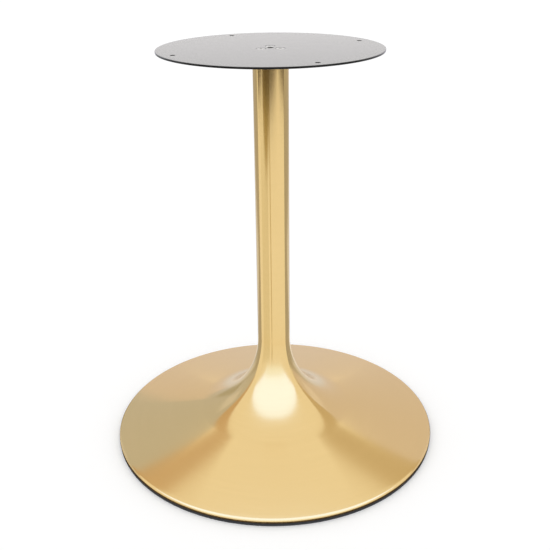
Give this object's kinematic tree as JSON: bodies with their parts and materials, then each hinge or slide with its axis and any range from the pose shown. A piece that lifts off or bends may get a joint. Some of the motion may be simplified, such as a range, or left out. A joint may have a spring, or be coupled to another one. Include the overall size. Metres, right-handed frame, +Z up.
{
  "type": "tulip table base",
  "caption": "Pedestal table base: a flared trumpet foot in brushed gold, a straight round column and a black round plate with holes that carries the table top.",
  "frame": {"origin": "on the floor, under the middle of the column", "axes": "+Z up along the column; the first view looks along +Y, with +X to the right"},
  "size_m": [0.6059, 0.606, 0.725],
  "materials": {
    "brushed_gold": "stainless steel with a gold coat, brushed round its axis",
    "black_powder_coat": "satin black powder coat",
    "zinc_plated_steel": "bright zinc plate",
    "turned_steel": "turned, uncoated",
    "cast_iron": "sand-cast, dipped in black paint",
    "black_rubber": "matt black"
  },
  "bodies": {
    "root": {"top_plate": "black_powder_coat", "plate_screws": "zinc_plated_steel", "column_head": "turned_steel", "column_tube": "brushed_gold", "neck_spigot": "turned_steel", "trumpet_base": "brushed_gold", "floor_ring": "black_rubber", "ballast": "cast_iron", "tie_rod": "zinc_plated_steel", "rod_washer": "zinc_plated_steel", "rod_nut": "zinc_plated_steel"}
  },
  "joints": []
}
